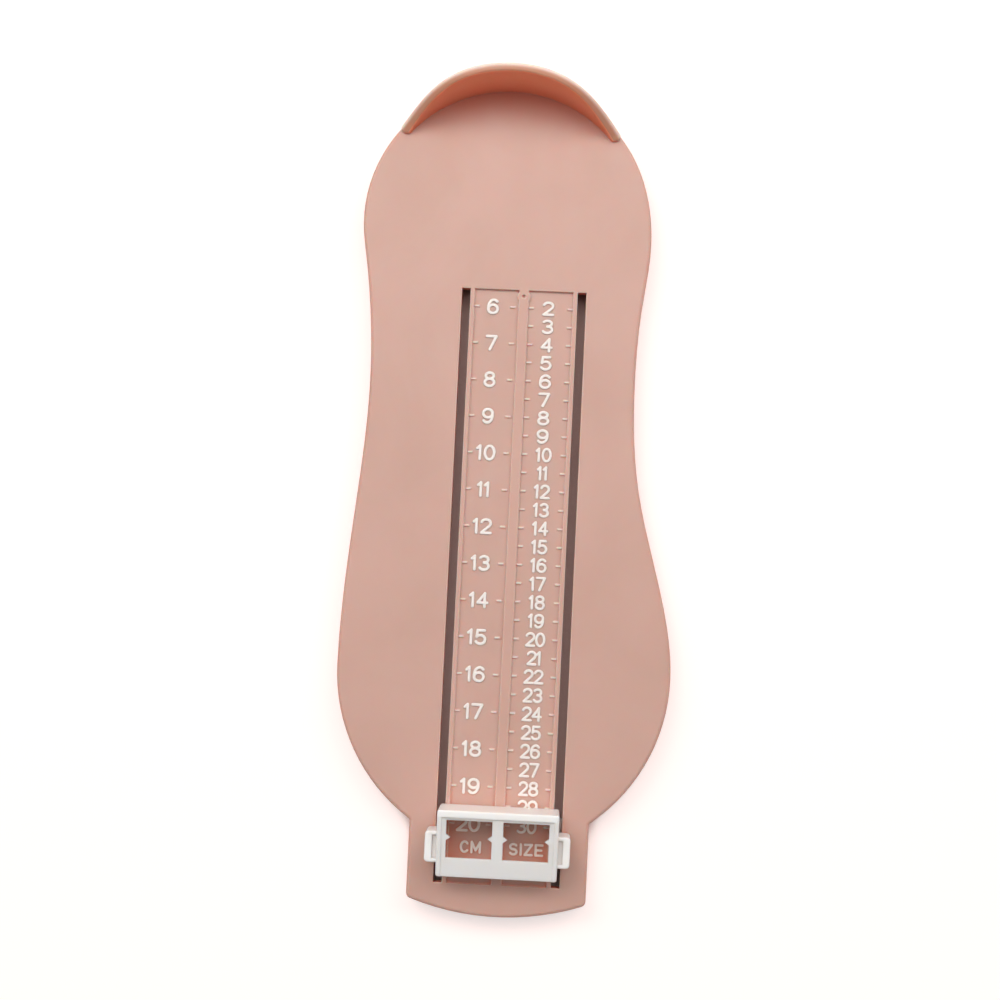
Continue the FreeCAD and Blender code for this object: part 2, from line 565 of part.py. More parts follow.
def make_slider_walls(doc, body, sheet):
    """Make the slider's block, slope it towards the toes and hollow it to a roof between walls."""
    plan = sketch_on(body, "slider_plan", lift=SLIDER_BOTTOM, on_scale=True)
    rectangle(plan, f"-{SLIDER_HALF}", SLIDER_HALF, SLIDER_END, STOP)
    pad(body, plan, "[stop_rise] - [glide_gap]", "slider_block")

    above = f"{SLIDER_TOP} + [stop_rise]"
    beyond = f"({SLIDER_END} - [slider_length])"
    side = sketch_on(body, "slope_side", plane="YZ_Plane")
    polygon(side, [slope_at(STOP_BACK), slope_at(beyond),
                   (f"[heel_face] + {beyond}", above), (f"[heel_face] + {STOP_BACK}", above)])
    slope = pocket(body, side, f"4 * {TAB_OUTER}", "side_slope")
    slope.Midplane = True
    low = number(side, SLIDER_BOTTOM)
    bend = number(side, f"[heel_face] + {STOP_BACK}")
    fillet(doc, body, "[slope_round]", "slope_bend",
           lambda edge: edge.BoundBox.ZMin > low + NEAR and abs(edge.CenterOfMass.y - bend) < NEAR)
    fillet(doc, body, "[slider_corner]", "slider_corners",
           lambda edge: edge.BoundBox.XLength < LEVEL and edge.BoundBox.YLength < LEVEL)
    fillet(doc, body, "[slider_round]", "slider_top_edges",
           lambda edge: edge.BoundBox.ZMin > low + NEAR and not runs_inside(edge, bend, sheet.stop_wall))

    tray = sketch_on(body, "tray_side", plane="YZ_Plane", lift="[scale_x]")
    polygon(tray, [slope_at(STOP_BACK, "[plate_drop]"), slope_at(beyond, "[plate_drop]"),
                   (f"[heel_face] + {beyond}", above), (f"[heel_face] + {STOP_BACK}", above)])
    hollow = "[plate_drop] + [window_plate_wall]"
    inside = f"({SLIDER_END} + [end_wall])"
    cavity = sketch_on(body, "cavity_side", plane="YZ_Plane", lift="[scale_x]")
    polygon(cavity, [slope_at(STOP_BACK, hollow), slope_at(inside, hollow),
                     (f"[heel_face] + {inside}", SLIDER_BOTTOM),
                     (f"[heel_face] + {STOP_BACK}", SLIDER_BOTTOM)])
    for sketch, name in ((tray, "tray"), (cavity, "cavity")):
        cut = pocket(body, sketch, f"2 * {LEG_INNER}", name)
        cut.Midplane = True


def make_tabs(doc, body, sheet):
    """Add the finger tabs: shells that are open below, with a raised lip round their tops."""
    plan = sketch_on(body, "tab_plan", lift=SLIDER_BOTTOM, on_scale=True)
    both_sides(plan, f"{SLIDER_HALF} - [cheek_wall] / 2", TAB_OUTER, TAB_LOW, TAB_HIGH)
    pad(body, plan, f"{TAB_TOP} - {SLIDER_BOTTOM}", "tab_blocks")
    low = number(plan, f"[heel_face] + {TAB_LOW}")
    high = number(plan, f"[heel_face] + {TAB_HIGH}")
    outer = number(plan, TAB_OUTER)
    corners = [(sheet.scale_x + sign * outer, y) for sign in (-1, 1) for y in (low, high)]
    fillet(doc, body, "[tab_corner]", "tab_corners",
           lambda edge: any(is_upright(edge, x, y, NEAR) for x, y in corners))
    wall = number(plan, SLIDER_HALF)
    top = number(plan, TAB_TOP)
    fillet(doc, body, "[slider_round]", "tab_top_edges",
           lambda edge: abs(edge.BoundBox.ZMin - top) < NEAR and edge.BoundBox.ZLength < LEVEL
           and abs(edge.CenterOfMass.x - sheet.scale_x) > wall + NEAR)
    dips = sketch_on(body, "tab_dip_plan", lift=TAB_TOP, on_scale=True)
    both_sides(dips, SLIDER_HALF, f"{TAB_OUTER} - [tab_wall]",
               f"{TAB_LOW} + [tab_end_wall]", f"{TAB_HIGH} - [tab_end_wall]")
    pocket(body, dips, "[tab_floor_drop]", "tab_dips")
    hollows = sketch_on(body, "tab_hollow_plan", lift=SLIDER_BOTTOM, on_scale=True)
    both_sides(hollows, SLIDER_HALF, f"{TAB_OUTER} - [tab_shell]",
               f"{TAB_LOW} + [tab_shell]", f"{TAB_HIGH} - [tab_shell]")
    pocket(body, hollows, f"{TAB_TOP} - {SLIDER_BOTTOM} - [tab_floor_drop] - [tab_shell]",
           "tab_hollows", upwards=True)


def make_windows(body):
    """Cut the two windows and leave a reading pointer on each of their sides."""
    windows = sketch_on(body, "window_plan", lift=SLIDER_TOP, on_scale=True)
    low = f"({STOP} - [window_end])"
    high = f"({STOP} - [window_start])"
    point = f"({STOP} - [pointer_place])"
    inner = "([divider_width] / 2)"
    outer = "[window_outer]"
    for sign in ("", "-"):
        polygon(windows, [
            (f"{sign}{inner}", low), (f"{sign}{outer}", low),
            (f"{sign}{outer}", f"{point} - [pointer_width] / 2"),
            (f"{sign}({outer} - [pointer_size])", point),
            (f"{sign}{outer}", f"{point} + [pointer_width] / 2"),
            (f"{sign}{outer}", high), (f"{sign}{inner}", high),
            (f"{sign}{inner}", f"{point} + [pointer_width] / 2"),
            (f"{sign}({inner} + [pointer_size])", point),
            (f"{sign}{inner}", f"{point} - [pointer_width] / 2")])
    pocket(body, windows, f"{SLIDER_TOP} - {SLIDER_BOTTOM}", "windows")


def make_legs(body):
    """Run the side walls down through the slots and end them in snap tongues."""
    legs = sketch_on(body, "leg_plan", lift=KEEPER_TOP, on_scale=True)
    both_sides(legs, LEG_INNER, SLIDER_HALF,
               f"{SLIDER_END} + [leg_inset]", f"{STOP} - [leg_inset]")
    pad(body, legs, f"{SLIDER_BOTTOM} - {KEEPER_TOP}", "legs")
    tongues = sketch_on(body, "tongue_plan", lift=f"{KEEPER_BOTTOM} - [barb_height]", on_scale=True)
    both_sides(tongues, LEG_INNER, SLIDER_HALF, TONGUE_LOW, TONGUE_HIGH)
    pad(body, tongues, "[keeper_thickness] + [barb_height]", "snap_tongues")

    barbs = sketch_on(body, "barb_side", plane="XZ_Plane", lift=f"-([heel_face] + {TONGUE_HIGH})")
    for sign in ("+", "-"):
        root = f"[scale_x] {sign} {SLIDER_HALF}"
        polygon(barbs, [
            (root, KEEPER_BOTTOM),
            (f"{root} {sign} [barb_reach]", KEEPER_BOTTOM),
            (f"{root} {sign} [barb_reach]", f"{KEEPER_BOTTOM} - [barb_height] / 3"),
            (root, f"{KEEPER_BOTTOM} - [barb_height]")])
    pad(body, barbs, "[tongue_length]", "barbs")


def make_slider(doc, sheet):
    """Make the slider: toe stop, side walls, window plate, finger tabs and legs in one moulding."""
    body = doc.addObject("PartDesign::Body", "slider")
    body.Label = "slider_frame"
    make_slider_walls(doc, body, sheet)
    make_tabs(doc, body, sheet)
    make_windows(body)
    make_legs(body)
    return body


def make_keeper(doc, sheet):
    """Make the keeper: the cross plate that the slider's snap tongues hold under the board."""
    body = doc.addObject("PartDesign::Body", "keeper")
    body.Label = "slider_keeper"
    half = "([keeper_length] / 2)"
    plan = sketch_on(body, "keeper_plan", lift=KEEPER_BOTTOM, on_scale=True)
    rectangle(plan, "-[keeper_half_width]", "[keeper_half_width]",
              f"{SLIDER_MIDDLE} - {half}", f"{SLIDER_MIDDLE} + {half}")
    pad(body, plan, "[keeper_thickness]", "cross_plate")
    corners = [(sheet.scale_x + sign * sheet.keeper_half_width) for sign in (-1, 1)]
    fillet(doc, body, "[keeper_corner]", "keeper_corners",
           lambda edge: edge.BoundBox.XLength < LEVEL and edge.BoundBox.YLength < LEVEL
           and any(abs(edge.BoundBox.XMin - x) < NEAR for x in corners))
    holes = sketch_on(body, "snap_hole_plan", lift=KEEPER_TOP, on_scale=True)
    both_sides(holes, f"{LEG_INNER} - [barb_reach] - [snap_gap]", f"{SLIDER_HALF} + [snap_gap]",
               f"{TONGUE_LOW} - [snap_gap]", f"{TONGUE_HIGH} + [snap_gap]")
    pocket(body, holes, "[keeper_thickness]", "snap_holes")
    lips = sketch_on(body, "lip_plan", lift=f"{KEEPER_BOTTOM} - [keeper_rib]", on_scale=True)
    lip_half = f"{LEG_INNER} - [barb_reach] - [keeper_corner]"
    for sign in ("+", "-"):
        edge = f"{SLIDER_MIDDLE} {sign} {half}"
        inside = f"{SLIDER_MIDDLE} {sign} ({half} - [cheek_wall])"
        low, high = (inside, edge) if sign == "+" else (edge, inside)
        rectangle(lips, f"-({lip_half})", lip_half, low, high)
    pad(body, lips, "[keeper_rib]", "stiffening_lips")
    return body


def check(doc, parts):
    """Stop if any object failed or any part isn't one valid solid."""
    for item in doc.Objects:
        if "Invalid" in item.State or "Error" in item.State:
            raise RuntimeError(f"{item.Name} failed: {item.State}")
    for part in parts:
        shape = part.Shape
        if shape.isNull() or not shape.isValid() or len(shape.Solids) != 1:
            raise RuntimeError(f"{part.Label} isn't one valid solid")


def main():
    """Build the document, check it and write one STEP file for each part."""
    doc = FreeCAD.newDocument("foot_gauge")
    sheet = make_sheet(doc)
    parts = [make_board(doc, sheet), make_slider(doc, sheet), make_keeper(doc, sheet)]
    doc.recompute()
    check(doc, parts)
    os.makedirs("parts", exist_ok=True)
    for part in parts:
        part.Shape.exportStep(os.path.join("parts", part.Label + ".step"))
        box = part.Shape.BoundBox
        print(f"{part.Label}: {part.Shape.Volume:.1f} mm3, {len(part.Shape.Faces)} faces, "
              f"x {box.XMin:.2f} {box.XMax:.2f}, y {box.YMin:.2f} {box.YMax:.2f}, "
              f"z {box.ZMin:.2f} {box.ZMax:.2f}")


main()
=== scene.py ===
"""Infant foot gauge: finishes, figures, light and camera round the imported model.

Lengths are written in millimetres and turned into metres by MM.
"""
import json
import logging
import math
from dataclasses import dataclass, field, replace
from enum import Enum
from typing import Callable, Iterable, Sequence

import bmesh
import bpy
from mathutils import Matrix, Vector

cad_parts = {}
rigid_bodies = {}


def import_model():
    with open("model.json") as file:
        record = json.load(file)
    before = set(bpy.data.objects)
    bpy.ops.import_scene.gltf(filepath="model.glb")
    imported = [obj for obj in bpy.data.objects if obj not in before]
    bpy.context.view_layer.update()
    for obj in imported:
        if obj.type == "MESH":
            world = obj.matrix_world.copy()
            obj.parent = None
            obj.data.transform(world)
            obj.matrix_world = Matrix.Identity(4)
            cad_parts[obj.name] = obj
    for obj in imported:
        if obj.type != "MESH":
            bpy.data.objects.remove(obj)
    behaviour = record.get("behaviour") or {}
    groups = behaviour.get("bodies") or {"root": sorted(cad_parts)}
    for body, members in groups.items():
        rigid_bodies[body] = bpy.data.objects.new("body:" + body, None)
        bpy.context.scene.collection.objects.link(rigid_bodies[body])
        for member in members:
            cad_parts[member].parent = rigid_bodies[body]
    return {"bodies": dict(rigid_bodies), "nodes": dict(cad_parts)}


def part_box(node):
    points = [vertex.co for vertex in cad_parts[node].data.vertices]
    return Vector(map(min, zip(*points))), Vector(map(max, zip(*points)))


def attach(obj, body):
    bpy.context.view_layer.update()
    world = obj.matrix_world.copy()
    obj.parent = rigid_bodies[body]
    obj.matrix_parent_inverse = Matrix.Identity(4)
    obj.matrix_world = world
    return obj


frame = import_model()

LOG = logging.getLogger("foot_gauge")
MM = 0.001

Point = tuple[float, float]
Range = tuple[float, float]
Color = tuple[float, float, float]


class Body(Enum):
    """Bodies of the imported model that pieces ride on."""

    BOARD = "board"
    SLIDER = "slider"


class Slot(Enum):
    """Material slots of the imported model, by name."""

    BOARD = "board_plastic"
    SLIDER = "slider_plastic"


def srgb(red: int, green: int, blue: int) -> Color:
    """Turn a screen colour into the linear colour that a shader wants.

    Args:
        red: Red from 0 to 255.
        green: Green from 0 to 255.
        blue: Blue from 0 to 255.

    Returns:
        The same colour, linear, from 0 to 1.
    """
    def linear(value: int) -> float:
        """Turn one channel's screen value into a linear share."""
        share = value / 255
        return share / 12.92 if share <= 0.04045 else ((share + 0.055) / 1.055) ** 2.4

    return linear(red), linear(green), linear(blue)


@dataclass(frozen=True)
class ScaleLayout:
    """Where the scale and the heel cup lie on the board, in millimetres."""

    middle_x: float = 0.8
    cup_wall: float = 2.2
    heel_radius: float = 39.2
    heel_middle_x: float = -4.9
    board_top: float = 8.0
    panel_depth: float = 0.8
    mark_rise: float = 0.35
    rib_half_width: float = 1.3
    panel_half_width: float = 13.45
    # Readings that the panel lies between.
    panel_start: float = 50.0
    panel_end: float = 214.0

    @property
    def panel_z(self) -> float:
        """Height of the sunk panel's floor."""
        return self.board_top - self.panel_depth

    @property
    def heel_middle_y(self) -> float:
        """Place along the board of the middle of the heel's round."""
        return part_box("base_board")[1].y / MM - self.heel_radius

    @property
    def heel_y(self) -> float:
        """Place along the board that both scales are counted from."""
        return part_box("base_board")[1].y / MM - self.cup_wall

    def at_reading(self, reading: float) -> float:
        """Give the place along the board of a reading in millimetres."""
        return self.heel_y - reading


# Shader groups


@dataclass
class Shader:
    """A node tree with short ways to add and join nodes."""

    tree: bpy.types.NodeTree

    def add(self, kind: str, settings: dict[str, object] | None = None,
            **sockets: object) -> bpy.types.Node:
        """Add a node, set its options and fill or join its inputs.

        Args:
            kind: The node's type name.
            settings: Options of the node itself, by name.
            **sockets: Inputs, with spaces written as underscores; a value or an output socket.

        Returns:
            The new node.
        """
        node = self.tree.nodes.new(kind)
        for name, value in (settings or {}).items():
            setattr(node, name, value)
        for name, value in sockets.items():
            self.feed(node.inputs[name.replace("_", " ")], value)
        return node

    def feed(self, socket: bpy.types.NodeSocket, value: object) -> None:
        """Join an output to an input, or set the input's own value.

        Args:
            socket: The input.
            value: An output socket, or a plain value.
        """
        if isinstance(value, bpy.types.NodeSocket):
            self.tree.links.new(value, socket)
        else:
            socket.default_value = value

    def math(self, operation: str, *values: object) -> bpy.types.NodeSocket:
        """Work something out from one to three values.

        Args:
            operation: The kind of sum.
            *values: Output sockets or plain numbers, in order.

        Returns:
            The result's socket.
        """
        node = self.tree.nodes.new("ShaderNodeMath")
        node.operation = operation
        for socket, value in zip(node.inputs, values):
            self.feed(socket, value)
        return node.outputs[0]

    def ramp(self, value: object, low: float, high: float, start: float = 0.0,
             end: float = 1.0) -> bpy.types.NodeSocket:
        """Map a range smoothly onto another one, held at both ends.

        Args:
            value: What is mapped.
            low: Where the range starts.
            high: Where the range ends.
            start: Result at the start.
            end: Result at the end.

        Returns:
            The mapped value's socket.
        """
        node = self.tree.nodes.new("ShaderNodeMapRange")
        node.interpolation_type = "SMOOTHSTEP"
        for socket, item in zip(node.inputs, (value, low, high, start, end)):
            self.feed(socket, item)
        return node.outputs["Result"]

    def blend(self, share: object, first: object, second: object) -> bpy.types.NodeSocket:
        """Blend two colours.

        Args:
            share: How much of the second colour is used.
            first: The first colour.
            second: The second colour.

        Returns:
            The blended colour's socket.
        """
        node = self.tree.nodes.new("ShaderNodeMix")
        node.data_type = "RGBA"
        self.feed(node.inputs["Factor"], share)
        for name, item in (("A", first), ("B", second)):
            color = (*item, 1.0) if isinstance(item, tuple) else item
            self.feed(next(s for s in node.inputs if s.name == name and s.type == "RGBA"), color)
        return next(s for s in node.outputs if s.type == "RGBA")

    def times(self, first: bpy.types.NodeSocket,
              *others: bpy.types.NodeSocket) -> bpy.types.NodeSocket:
        """Multiply masks, so that the result holds only where all of them do.

        Args:
            first: The first mask.
            *others: The other masks.

        Returns:
            The joint mask.
        """
        for other in others:
            first = self.math("MULTIPLY", first, other)
        return first

    def between(self, value: object, low: object, high: object) -> bpy.types.NodeSocket:
        """Give 1 where a value lies between two others, and 0 elsewhere."""
        return self.times(self.math("GREATER_THAN", value, low), self.math("LESS_THAN", value, high))

    def distance(self, value: object, middle: object) -> bpy.types.NodeSocket:
        """Give how far a value lies from a middle one, to either side."""
        return self.math("ABSOLUTE", self.math("SUBTRACT", value, middle))

    def surface(self) -> tuple[bpy.types.Node, bpy.types.Node]:
        """Read off a surface, each split into its axes.

        Returns:
            A node with the surface's place, and one with the way that it faces.
        """
        space = self.add("ShaderNodeTexCoord")
        return (self.add("ShaderNodeSeparateXYZ", Vector=space.outputs["Object"]),
                self.add("ShaderNodeSeparateXYZ", Vector=space.outputs["Normal"]))


@dataclass(frozen=True)
class MaskRanges:
    """Where each mask fades in: it is 0 at its first value and 1 at its second."""

    mottle: Range = (0.3, 0.7)
    streak: Range = (0.35, 0.65)
    # Cosine of the angle between a flat surface and its rounded edge.
    edge: Range = (0.995, 0.86)
    # Share of the room round a place that is open.
    deep: Range = (0.52, 0.15)
    open: Range = (0.4, 0.75)
    covered: Range = (0.52, 0.2)
    # How squarely a surface faces away from the cup's middle; below 0 it faces the middle.
    inward: Range = (-0.15, -0.6)
    # How squarely a surface faces up.
    upward: Range = (0.4, 0.8)
    level: Range = (0.7, 0.95)


@dataclass
class GroupMaker:
    """Makes the shader groups that several finishes share, each one once."""

    ranges: MaskRanges = MaskRanges()
    # Streaks of the flow are drawn out along the board.
    flow_stretch: tuple[float, float, float] = (1.0, 0.16, 1.0)
    # Share of the cup's wall at which its rim begins to turn outwards.
    rim_turn: float = 0.4
    # Share of the cup's radius past which the board beside its wall is painted with bounce light.
    bounce_ends: float = 0.5
    # How far the ink's edge wanders up and down, in millimetres.
    ink_wander: float = 0.06
    # Least upward tilt of a surface that the ink roller reached.
    ink_tilt: float = 0.1
    edge_samples: int = 6
    room_samples: int = 8
    made: dict[str, bpy.types.NodeTree] = field(default_factory=dict)

    def get(self, name: str) -> bpy.types.NodeTree:
        """Give a group by name, and build it on its first use.

        Args:
            name: The group's name.

        Returns:
            The group's node tree.
        """
        if name not in self.made:
            builders: dict[str, Callable[[], bpy.types.NodeTree]] = {
                "moulded_grain": self._grain,
                "edge_mask": self._edges,
                "crease_mask": self._creases,
                "cup_mask": self._cup,
                "raised_ink": self._ink,
            }
            self.made[name] = builders[name]()
        return self.made[name]

    def place(self, shader: Shader, name: str, **values: object) -> bpy.types.Node:
        """Put a group into a material and set its inputs.

        Args:
            shader: The material's shader.
            name: The group's name.
            **values: Inputs, with spaces written as underscores.

        Returns:
            The group's node.
        """
        node = shader.tree.nodes.new("ShaderNodeGroup")
        node.node_tree = self.get(name)
        for socket, value in values.items():
            shader.feed(node.inputs[socket.replace("_", " ")], value)
        return node

    @staticmethod
    def _start(name: str, inputs: dict[str, float],
               outputs: Iterable[str]) -> tuple[Shader, bpy.types.Node, bpy.types.Node]:
        """Start a group with plain number inputs.

        Args:
            name: The group's name.
            inputs: Input names with their usual values.
            outputs: Output names; one called Normal is a vector and the rest are numbers.

        Returns:
            The shader, the group's input node and its output node.
        """
        tree = bpy.data.node_groups.new(name, "ShaderNodeTree")
        for label, value in inputs.items():
            socket = tree.interface.new_socket(label, in_out="INPUT", socket_type="NodeSocketFloat")
            socket.default_value = value
        for label in outputs:
            kind = "NodeSocketVector" if label == "Normal" else "NodeSocketFloat"
            tree.interface.new_socket(label, in_out="OUTPUT", socket_type=kind)
        shader = Shader(tree)
        return shader, shader.add("NodeGroupInput"), shader.add("NodeGroupOutput")

    def _grain(self) -> bpy.types.NodeTree:
        """Make fine spark-eroded grain, and the wide soft mottle of the flow in the mould.

        Returns:
            The group's node tree.
        """
        shader, given, result = self._start(
            "moulded_grain", {"Grain Scale": 4000.0, "Mottle Scale": 30.0, "Flow Scale": 210.0},
            ("Height", "Mottle", "Streak"))
        place = shader.add("ShaderNodeTexCoord").outputs["Object"]
        grain = shader.add("ShaderNodeTexNoise", Vector=place, Scale=given.outputs["Grain Scale"],
                           Detail=3.0, Roughness=0.6)
        mottle = shader.add("ShaderNodeTexNoise", Vector=place, Scale=given.outputs["Mottle Scale"],
                            Detail=4.0, Roughness=0.55, Distortion=0.6)
        stretch = shader.add("ShaderNodeMapping", Vector=place, Scale=self.flow_stretch)
        flow = shader.add("ShaderNodeTexNoise", Vector=stretch.outputs[0],
                          Scale=given.outputs["Flow Scale"], Detail=2.0, Roughness=0.5)
        shader.feed(result.inputs["Height"], grain.outputs["Fac"])
        shader.feed(result.inputs["Mottle"], shader.ramp(mottle.outputs["Fac"], *self.ranges.mottle))
        shader.feed(result.inputs["Streak"], shader.ramp(flow.outputs["Fac"], *self.ranges.streak))
        return shader.tree

    def _edges(self) -> bpy.types.NodeTree:
        """Make a mask along edges, which the finishes paint with a highlight and polish, and a normal that rounds
        them over.

        Returns:
            The group's node tree.
        """
        shader, given, result = self._start("edge_mask", {"Radius": 0.0004}, ("Mask", "Normal"))
        soft = shader.add("ShaderNodeBevel", {"samples": self.edge_samples}, Radius=given.outputs["Radius"])
        turn = shader.add("ShaderNodeVectorMath", {"operation": "DOT_PRODUCT"})
        shader.feed(turn.inputs[0], soft.outputs[0])
        shader.feed(turn.inputs[1], shader.add("ShaderNodeNewGeometry").outputs["Normal"])
        shader.feed(result.inputs["Mask"], shader.ramp(turn.outputs["Value"], *self.ranges.edge))
        shader.feed(result.inputs["Normal"], soft.outputs[0])
        return shader.tree

    def _creases(self) -> bpy.types.NodeTree:
        """Make masks for places deep in a piece's own shape, and for places that others cover, where the finishes
        paint shade.

        Returns:
            The group's node tree.
        """
        shader, given, result = self._start("crease_mask", {"Reach": 0.01, "Cover Reach": 0.01},
                                            ("Deep", "Open", "Covered"))
        own = shader.add("ShaderNodeAmbientOcclusion",
                         {"samples": self.room_samples, "only_local": True},
                         Distance=given.outputs["Reach"])
        near = shader.add("ShaderNodeAmbientOcclusion", {"samples": self.room_samples},
                          Distance=given.outputs["Cover Reach"])
        shader.feed(result.inputs["Deep"], shader.ramp(own.outputs["AO"], *self.ranges.deep))
        shader.feed(result.inputs["Open"], shader.ramp(own.outputs["AO"], *self.ranges.open))
        shader.feed(result.inputs["Covered"], shader.ramp(near.outputs["AO"], *self.ranges.covered))
        return shader.tree

    def _cup(self) -> bpy.types.NodeTree:
        """Make masks for a round wall: its inner side, its rim, how far out on it, and its foot.

        Returns:
            The group's node tree.
        """
        shader, given, result = self._start(
            "cup_mask", {"Middle X": 0.0, "Middle Y": 0.0, "Bottom": 0.0, "Inner": 0.03, "Outer": 0.04,
                         "Bounce Reach": 0.01},
            ("Wall", "Rim", "Outward", "Bounce"))
        place, facing = shader.surface()
        across = shader.math("SUBTRACT", place.outputs["X"], given.outputs["Middle X"])
        along = shader.math("SUBTRACT", place.outputs["Y"], given.outputs["Middle Y"])
        reach = shader.math("SQRT", shader.math("ADD", shader.math("POWER", across, 2.0),
                                                shader.math("POWER", along, 2.0)))
        outward = shader.math("ADD", shader.math("MULTIPLY", facing.outputs["X"], across),
                              shader.math("MULTIPLY", facing.outputs["Y"], along))
        raised = shader.math("GREATER_THAN", place.outputs["Z"], given.outputs["Bottom"])
        inward = shader.ramp(shader.math("DIVIDE", outward, reach), *self.ranges.inward)
        shader.feed(result.inputs["Wall"], shader.times(inward, raised))

        shader.feed(result.inputs["Rim"], shader.times(
            shader.ramp(facing.outputs["Z"], *self.ranges.upward),
            shader.math("GREATER_THAN", reach, given.outputs["Inner"]), raised))
        width = shader.math("SUBTRACT", given.outputs["Outer"], given.outputs["Inner"])
        turn = shader.math("MULTIPLY_ADD", width, self.rim_turn, given.outputs["Inner"])
        shader.feed(result.inputs["Outward"], shader.ramp(reach, turn, given.outputs["Outer"]))

        near = shader.math("SUBTRACT", given.outputs["Inner"], given.outputs["Bounce Reach"])
        ends = shader.math("MULTIPLY", given.outputs["Outer"], self.bounce_ends)
        shader.feed(result.inputs["Bounce"], shader.times(
            shader.ramp(reach, near, given.outputs["Inner"]),
            shader.ramp(along, ends, given.outputs["Inner"]),
            shader.math("SUBTRACT", 1.0, raised),
            shader.ramp(facing.outputs["Z"], *self.ranges.level),
            shader.math("LESS_THAN", reach, given.outputs["Outer"])))
        return shader.tree

    def _ink(self) -> bpy.types.NodeTree:
        """Make a mask for ink that was rolled onto the raised marks and touches nothing lower.

        Returns:
            The group's node tree.
        """
        shader, given, result = self._start(
            "raised_ink", {"Bottom": 0.0, "Top": 1.0, "Middle": 0.0, "Inner": 0.0, "Outer": 1.0,
                           "Toe End": -1.0, "Heel End": 1.0},
            ("Mask",))
        place, facing = shader.surface()
        wander = shader.add("ShaderNodeTexNoise", Scale=1800.0, Detail=3.0,
                            Vector=shader.add("ShaderNodeTexCoord").outputs["Object"])
        lift = shader.math("MULTIPLY_ADD", wander.outputs["Fac"], 2 * self.ink_wander * MM,
                           -self.ink_wander * MM)
        height = shader.math("ADD", place.outputs["Z"], lift)
        side = shader.distance(place.outputs["X"], given.outputs["Middle"])
        shader.feed(result.inputs["Mask"], shader.times(
            shader.math("GREATER_THAN", height, given.outputs["Bottom"]),
            shader.math("LESS_THAN", place.outputs["Z"], given.outputs["Top"]),
            shader.between(side, given.outputs["Inner"], given.outputs["Outer"]),
            shader.between(place.outputs["Y"], given.outputs["Toe End"], given.outputs["Heel End"]),
            shader.math("GREATER_THAN", facing.outputs["Z"], self.ink_tilt)))
        return shader.tree


# Finishes


@dataclass(frozen=True)
class CupColors:
    """Painted light and shade of the heel cup: the light that stays in it and shines through its thin wall tints
    its wall, its thin rim and its foot, and the rim's outer side is a painted highlight.
    """

    # The wall's painted glow, then its painted shade where it lies deep; the painted glow through the rim, then
    # the painted highlight on its outer side; and painted bounce light with its reach on the board at the cup's
    # foot.
    wall: Color
    wall_deep: Color
    rim: Color
    rim_outside: Color
    bounce: Color
    bounce_reach: float
    # The cup's colours begin this far above the board, in millimetres.
    lift: float = 0.05
    # The rim begins this many wall thicknesses in from the cup's outer side.
    rim_walls: float = 1.1

    def tint(self, shader: Shader, groups: GroupMaker, layout: ScaleLayout, creases: bpy.types.Node,
             color: bpy.types.NodeSocket) -> bpy.types.NodeSocket:
        """Paint the heel cup's light and shade, and bounce light on the board at its foot.

        Args:
            shader: The material's shader.
            groups: The shared shader groups.
            layout: The place of the heel cup.
            creases: The material's crease masks.
            color: The board's colour.

        Returns:
            The board's colour with the cup's on it.
        """
        mask = groups.place(
            shader, "cup_mask", Middle_X=layout.heel_middle_x * MM, Middle_Y=layout.heel_middle_y * MM,
            Bottom=(layout.board_top + self.lift) * MM,
            Inner=(layout.heel_radius - self.rim_walls * layout.cup_wall) * MM,
            Outer=layout.heel_radius * MM, Bounce_Reach=self.bounce_reach * MM)
        # Painted glow and shade on the wall, painted glow and highlight on the rim, painted bounce light at the
        # foot.
        wall = shader.blend(creases.outputs["Open"], self.wall_deep, self.wall)
        rim = shader.blend(mask.outputs["Outward"], self.rim, self.rim_outside)
        color = shader.blend(mask.outputs["Bounce"], color, self.bounce)
        color = shader.blend(mask.outputs["Wall"], color, wall)
        return shader.blend(mask.outputs["Rim"], color, rim)


@dataclass(frozen=True)
class MarkInk:
    """The ink on the raised marks, and the room round them, in millimetres."""

    color: Color
    # Painted warm bounce light on the ink where other pieces cover it.
    color_covered: Color = (1.0, 0.8, 0.68)
    # Shares of a mark's height that the ink lies between.
    band: Range = (0.6, 1.4)
    rib_room: float = 0.05
    panel_room: float = 0.02

    def tint(self, shader: Shader, groups: GroupMaker, layout: ScaleLayout, creases: bpy.types.Node,
             color: bpy.types.NodeSocket) -> bpy.types.NodeSocket:
        """Ink the raised marks of the scale.

        Args:
            shader: The material's shader.
            groups: The shared shader groups.
            layout: The place of the scale.
            creases: The material's crease masks.
            color: The colour under the ink.

        Returns:
            The colour with the ink on it.
        """
        low, high = self.band
        mask = groups.place(
            shader, "raised_ink",
            Bottom=(layout.panel_z + low * layout.mark_rise) * MM,
            Top=(layout.panel_z + high * layout.mark_rise) * MM,
            Middle=layout.middle_x * MM,
            Inner=(layout.rib_half_width + self.rib_room) * MM,
            Outer=(layout.panel_half_width + self.panel_room) * MM,
            Toe_End=layout.at_reading(layout.panel_end) * MM,
            Heel_End=layout.at_reading(layout.panel_start) * MM)
        # Under cover the printed ink is painted warmer, as bounce light.
        marks = shader.blend(creases.outputs["Covered"], self.color, self.color_covered)
        return shader.blend(mask.outputs["Mask"], color, marks)


